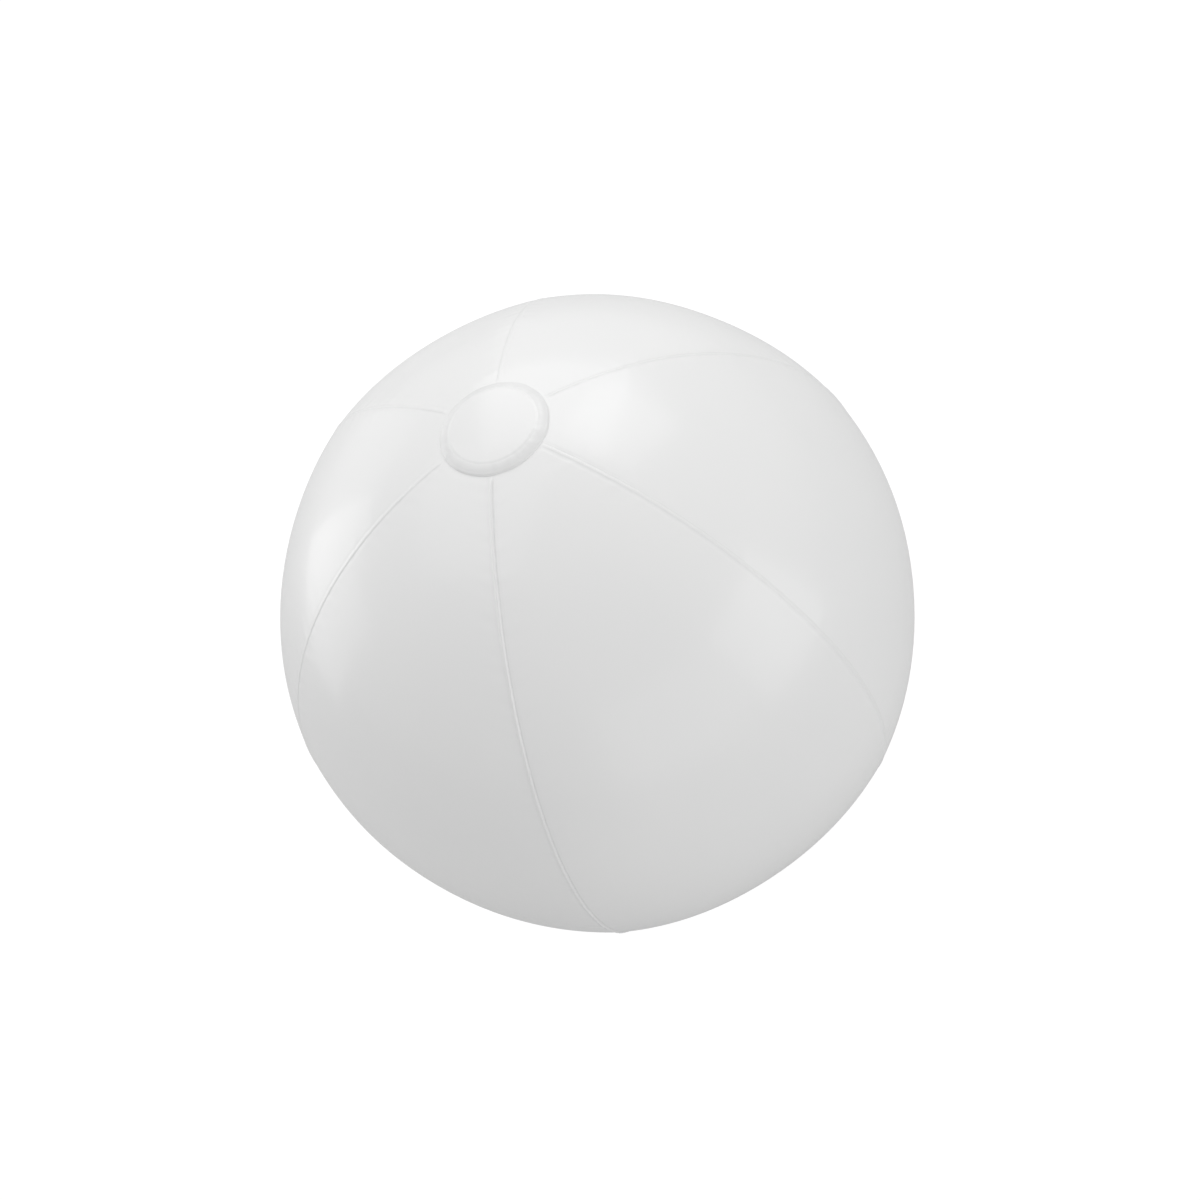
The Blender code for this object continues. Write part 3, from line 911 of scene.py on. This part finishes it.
# %% Group: the rollers' lines
def build_roller_lines():
    """Long faint lines along the sheet's second direction, which is how it left the rollers."""
    inputs = [("Flat", "NodeSocketVector", None), ("Line Scale", "NodeSocketFloat", 420.0)]
    group, given, out = start_group("roller_lines", inputs, ["Lines"])
    stretch = {"Vector": given.outputs[0], "Scale": (1.0, 0.02, 0.02)}
    drawn = add_node(group, "ShaderNodeMapping", stretch)
    fine = noise(group, drawn.outputs["Vector"], given.outputs[1], 3.0, 0.6)
    group.links.new(spread(group, fine, 0.3, 0.7), out.inputs["Lines"])
    return group


# %% Group: the press of the welding tool, and painted shade in the weld mask
def build_weld_press_and_shade():
    """A mask of the welded film that also carries painted shade in the lap creases and weld rings, and the
    fine uneven print that the hot tool leaves in it.
    """
    inputs = [
        ("Weld", "NodeSocketFloat", 0.0),
        ("Place", "NodeSocketVector", None),
        ("Print Scale", "NodeSocketFloat", 1500.0),
    ]
    group, given, out = start_group("weld_press_and_shade", inputs, ["Mask", "Height"])
    weld, place, print_scale = (given.outputs[k] for k in range(3))
    patchy = noise(group, place, combine(group, "MULTIPLY", print_scale, 0.12), 2.0)
    mask = combine(group, "MULTIPLY", weld, spread(group, patchy, 0.25, 0.6, 0.6, 1.0))
    group.links.new(mask, out.inputs["Mask"])
    feeds = {"Vector": place, "Scale": print_scale}
    cells = add_node(group, "ShaderNodeTexVoronoi", feeds, feature="F1")
    print_height = combine(group, "MULTIPLY", cells.outputs["Distance"], weld)
    group.links.new(print_height, out.inputs["Height"])
    return group


film_skin = build_film_skin()
roller_lines = build_roller_lines()
weld_press_and_shade = build_weld_press_and_shade()
print("groups:", film_skin.name, roller_lines.name, weld_press_and_shade.name)

# %% [markdown]
# ## The film's material
#
# White vinyl is a bright, nearly neutral base under a satin gloss, with a thin glossier skin where
# the rollers polished it, which is the shader's coat. The groups feed the colour, the roughness and a
# bump, and nothing else. The gores read their roller lines from the flat map made with
# them, because a real line follows the sheet. A disc is almost flat, so its own x and y serve.


# %% Film materials
def start_material(name, **numbers):
    """A material with one Principled shader, whose constant numbers sit on its own sockets."""
    material = bpy.data.materials.new(name)
    material.use_nodes = True
    shader = material.node_tree.nodes["Principled BSDF"]
    for socket, value in numbers.items():
        shader.inputs[socket.replace("_", " ")].default_value = value
    return material, material.node_tree, shader


def place_group(tree, group, **feeds):
    named = {title.replace("_", " "): value for title, value in feeds.items()}
    node = add_node(tree, "ShaderNodeGroup", node_tree=group)
    for title, value in named.items():
        if isinstance(value, bpy.types.NodeSocket):
            tree.links.new(value, node.inputs[title])
        else:
            node.inputs[title].default_value = value
    return node.outputs


def mix_colours(tree, share, first, second):
    mixed = add_node(tree, "ShaderNodeMix", {"Factor": share}, data_type="RGBA")
    for socket, colour in ((6, first), (7, second)):
        if isinstance(colour, bpy.types.NodeSocket):
            tree.links.new(colour, mixed.inputs[socket])
        else:
            mixed.inputs[socket].default_value = (*colour, 1.0)
    return mixed.outputs[2]


def add_bump(tree, shader, height, distance, strength=1.0):
    feeds = {"Height": height, "Distance": distance, "Strength": strength}
    bump = add_node(tree, "ShaderNodeBump", feeds)
    tree.links.new(bump.outputs["Normal"], shader.inputs["Normal"])


FILM_WHITE = (0.845, 0.846, 0.843)
FILM_SHADE = (0.828, 0.83, 0.829)
# Greys the bead a little as its own colour, and the lap crease beside it far more as painted shade.
CREASE_SHADE_AND_BEAD_GREY = (0.74, 0.742, 0.741)
# Greys the weld ring partly as its own colour and partly as painted shade of its slope.
RING_GREY_AND_SLOPE_SHADE = (0.775, 0.777, 0.776)
FILM_ROUGHNESS = 0.32
GLOSS_COAT = {"Coat_Weight": 0.35, "Coat_Roughness": 0.12}
VINYL_IOR = 1.53


def film_material(name, flat_map, weld_grey_and_shade, weld_rough):
    material, tree, shader = start_material(name, IOR=VINYL_IOR, **GLOSS_COAT)
    coordinates = add_node(tree, "ShaderNodeTexCoord")
    place = coordinates.outputs["Object"]
    flat = place
    if flat_map:
        flat = add_node(tree, "ShaderNodeUVMap", uv_map=flat_map).outputs["UV"]
    weld = add_node(tree, "ShaderNodeAttribute", attribute_name="weld").outputs["Fac"]
    skin = place_group(tree, film_skin, Place=place)
    lines = place_group(tree, roller_lines, Flat=flat)
    press_and_shade = place_group(tree, weld_press_and_shade, Weld=weld, Place=place)
    film = mix_colours(tree, skin["Tint"], FILM_WHITE, FILM_SHADE)
    # The weld mask greys the colour: weld colour on beads and rings, painted shade in creases and on ring
    # slopes.
    colour = mix_colours(tree, press_and_shade["Mask"], film, weld_grey_and_shade)
    tree.links.new(colour, shader.inputs["Base Color"])
    gloss = spread(tree, skin["Haze"], 0, 1, FILM_ROUGHNESS - 0.035, FILM_ROUGHNESS + 0.04)
    gloss = combine(tree, "ADD", gloss, combine(tree, "MULTIPLY", lines["Lines"], 0.015))
    gloss = combine(tree, "ADD", gloss, combine(tree, "MULTIPLY", press_and_shade["Mask"], weld_rough))
    tree.links.new(gloss, shader.inputs["Roughness"])
    height = combine(tree, "ADD", skin["Height"], combine(tree, "MULTIPLY", lines["Lines"], 0.12))
    height = combine(tree, "ADD", height, combine(tree, "MULTIPLY", press_and_shade["Height"], 0.8))
    add_bump(tree, shader, height, 0.02 * MM)
    return material


def finish_with(material, *pieces):
    for piece in pieces:
        piece.data.materials.clear()
        piece.data.materials.append(material)
    print(f"{material.name}: {', '.join(piece.name for piece in pieces)}")


gore_vinyl = film_material("gore_vinyl", "film", CREASE_SHADE_AND_BEAD_GREY, 0.04)
disc_vinyl = film_material("disc_vinyl", None, RING_GREY_AND_SLOPE_SHADE, 0.08)
finish_with(gore_vinyl, *gores)
finish_with(disc_vinyl, top_disc, base_disc)

# %% [markdown]
# ## The valve's materials
#
# The valve is moulded, not calendered, and softer than the film. Its mould was spark-eroded, which
# leaves an even fine matt, and thin soft vinyl lets a little light in. The plug is handled the most,
# so it is polished a bit. The flap is thin, smooth and slightly milky.


# %% Moulded materials
def moulded_material(name, white, shade, roughness, matt_scale, **numbers):
    material, tree, shader = start_material(name, IOR=VINYL_IOR, **numbers)
    place = add_node(tree, "ShaderNodeTexCoord").outputs["Object"]
    skin = place_group(tree, film_skin, Place=place, Haze_Scale=160.0, Peel_Scale=matt_scale)
    tree.links.new(mix_colours(tree, skin["Tint"], white, shade), shader.inputs["Base Color"])
    gloss = spread(tree, skin["Haze"], 0, 1, roughness - 0.05, roughness + 0.06)
    tree.links.new(gloss, shader.inputs["Roughness"])
    add_bump(tree, shader, skin["Height"], 0.03 * MM)
    return material


soft = {"Subsurface_Weight": 0.15, "Subsurface_Scale": 0.6 * MM, "Subsurface_Radius": (1.0, 0.9, 0.8)}
VALVE_WHITE, VALVE_SHADE = (0.8, 0.802, 0.8), (0.77, 0.773, 0.772)
PLUG_WHITE, PLUG_SHADE = (0.83, 0.835, 0.84), (0.8, 0.806, 0.812)
FLAP_WHITE, FLAP_SHADE = (0.8, 0.81, 0.815), (0.77, 0.782, 0.79)
valve_vinyl = moulded_material("valve_vinyl", VALVE_WHITE, VALVE_SHADE, 0.44, 3200.0, **soft)
plug_vinyl = moulded_material("plug_vinyl", PLUG_WHITE, PLUG_SHADE, 0.34, 2600.0, **soft)
flap_vinyl = moulded_material("flap_vinyl", FLAP_WHITE, FLAP_SHADE, 0.34, 2000.0, **soft)
finish_with(valve_vinyl, flange, web, stem, strap)
finish_with(plug_vinyl, plug)
finish_with(flap_vinyl, flap)

# %% [markdown]
# ## Floor and background
#
# The ball stands on a wide white floor in a white room. What the camera sees of both is almost pure
# white, with only a breath of shadow where the ball stands. What lights the ball is dimmer, because a
# white thing needs something darker around it to show its shape, so both ask the light path whether
# the camera is looking. From underneath the floor is clear, so that the base and the valve can be seen.

# %% Floor and world
FLOOR_REACH = 3.0
FLOOR_GAP = 0.02 * MM
ROOM_LIGHT = 0.64
FLOOR_GREY = 0.42
FLOOR_GLOW = 0.22
SHADOW_SHARE = 0.12
start_fresh()
floor_place = (0, 0, FLOOR_HEIGHT - FLOOR_GAP)
bpy.ops.mesh.primitive_circle_add(
    vertices=96, radius=FLOOR_REACH, fill_type="NGON", location=floor_place
)
floor = name_piece("studio_floor")
floor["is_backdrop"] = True
paper = bpy.data.materials.new("white_paper")
paper.use_nodes = True
tree = paper.node_tree
tree.nodes.clear()
seen = add_node(tree, "ShaderNodeLightPath").outputs["Is Camera Ray"]


def paper_shader(grey, glow):
    """Matt paper of one grey that also gives out a little light, as a lit cove does."""
    matt = add_node(tree, "ShaderNodeBsdfDiffuse", {"Color": (grey, grey, grey, 1)})
    lit = add_node(tree, "ShaderNodeEmission", {"Strength": glow})
    return add_node(tree, "ShaderNodeAddShader", {0: matt.outputs[0], 1: lit.outputs[0]}).outputs[0]


lighting = paper_shader(FLOOR_GREY, FLOOR_GLOW)
above = paper_shader(SHADOW_SHARE, 1 - SHADOW_SHARE / 2)
clear = add_node(tree, "ShaderNodeBsdfTransparent").outputs[0]
below = add_node(tree, "ShaderNodeNewGeometry").outputs["Backfacing"]
looking = add_node(tree, "ShaderNodeMixShader", {0: below, 1: above, 2: clear}).outputs[0]
either = add_node(tree, "ShaderNodeMixShader", {0: seen, 1: lighting, 2: looking})
add_node(tree, "ShaderNodeOutputMaterial", {"Surface": either.outputs[0]})
floor.data.materials.append(paper)

world = bpy.data.worlds.new("white_room")
bpy.context.scene.world = world
world.use_nodes = True
tree = world.node_tree
seen = add_node(tree, "ShaderNodeLightPath").outputs["Is Camera Ray"]
strength = spread(tree, seen, 0, 1, ROOM_LIGHT, 1.0)
tree.links.new(strength, tree.nodes["Background"].inputs["Strength"])
tree.nodes["Background"].inputs["Color"].default_value = (1, 1, 1, 1)
print("floor at", round(FLOOR_HEIGHT / MM, 2), "mm")

# %% [markdown]
# ## Soft studio lights
#
# Square softboxes stand all round the ball, all at the same distance and aimed at it. The strongest is
# behind on the right and brightens the far side. A smaller one near it draws the soft glint beside the
# disc, a low one draws the glint along the left edge, and two low ones in front keep the near side
# even. A box is named by where it stands, and given its azimuth and its height in degrees, its side
# and its power.

# %% Hang the softboxes
LIGHT_DISTANCE = 1.3
LARGE_BOX = 0.9
SMALL_BOX = 0.55
softboxes = {
    "front_right_box": (312, 8, LARGE_BOX, 3.1),
    "front_box": (270, 8, LARGE_BOX, 1.1),
    "right_box": (30, 50, SMALL_BOX, 1.2),
    "back_right_box": (62, 48, LARGE_BOX, 3.6),
    "back_right_low_box": (60, 8, LARGE_BOX, 0.7),
    "back_left_low_box": (120, 8, LARGE_BOX, 0.9),
    "back_left_high_box": (135, 68, LARGE_BOX, 1.5),
    "left_low_box": (142, 6, LARGE_BOX, 2.5),
}
for name, (azimuth, height, side, power) in softboxes.items():
    light = bpy.data.lights.new(name, "AREA")
    light.shape = "SQUARE"
    light.size = side
    light.energy = power
    lamp = bpy.data.objects.new(name, light)
    bpy.context.scene.collection.objects.link(lamp)
    turned_to = Matrix.Rotation(radians(azimuth), 3, "Z") @ Matrix.Rotation(-radians(height), 3, "Y")
    away = turned_to @ Vector((1, 0, 0))
    lamp.location = away * LIGHT_DISTANCE
    lamp.rotation_euler = away.to_track_quat("Z", "Y").to_euler()
bpy.context.scene.view_settings.view_transform = "Standard"
print(len(softboxes), "softboxes")

# %% [markdown]
# ## The camera
#
# The camera looks down on the ball from five radii away, with the pole disc turned towards it and up
# to the left. The view is fixed by three angles: how far the camera is from the pole, the azimuth that
# it looks from, and the direction in which the pole leans in the picture. The lens is then chosen so
# that the ball fills the share of the picture that it should.

# %% Aim the camera
VIEW_FROM_POLE = radians(35.1)
VIEW_AZIMUTH = radians(-93.7)
POLE_LEAN = radians(29.4)
CAMERA_REACH = 5 * BALL_RADIUS
BALL_SHARE = 0.265
SENSOR = 36
backward = Vector((
    sin(VIEW_FROM_POLE) * cos(VIEW_AZIMUTH),
    sin(VIEW_FROM_POLE) * sin(VIEW_AZIMUTH),
    cos(VIEW_FROM_POLE),
))
level_up = (Vector((0, 0, 1)) - backward * backward.z).normalized()
level_right = level_up.cross(backward)
right = level_right * cos(POLE_LEAN) - level_up * sin(POLE_LEAN)
up = level_right * sin(POLE_LEAN) + level_up * cos(POLE_LEAN)
camera = bpy.data.cameras.new("studio_camera")
camera.sensor_width = SENSOR
camera.lens = SENSOR * BALL_SHARE * sqrt((CAMERA_REACH / BALL_RADIUS) ** 2 - 1)
camera.shift_x = 0.0017
camera.shift_y = 0.0105
camera.clip_end = 20
viewer = bpy.data.objects.new("studio_camera", camera)
bpy.context.scene.collection.objects.link(viewer)
turned_view = Matrix((right, up, backward)).transposed().to_4x4()
viewer.matrix_world = Matrix.Translation(backward * CAMERA_REACH) @ turned_view
bpy.context.scene.camera = viewer
print(f"lens {camera.lens:.1f} mm, camera {CAMERA_REACH:.2f} m away")

# %% [markdown]
# ## Finish
#
# The box of the CAD model and the box of what stands here now are printed side by side. What stands
# here may reach past the CAD model's box by less than a millimetre.

# %% Print the sizes
visual_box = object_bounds()
for name, (low, high) in (("cad", cad_box), ("visual", visual_box)):
    print(name, "box", [round((b - a) / MM, 2) for a, b in zip(low, high)], "mm")
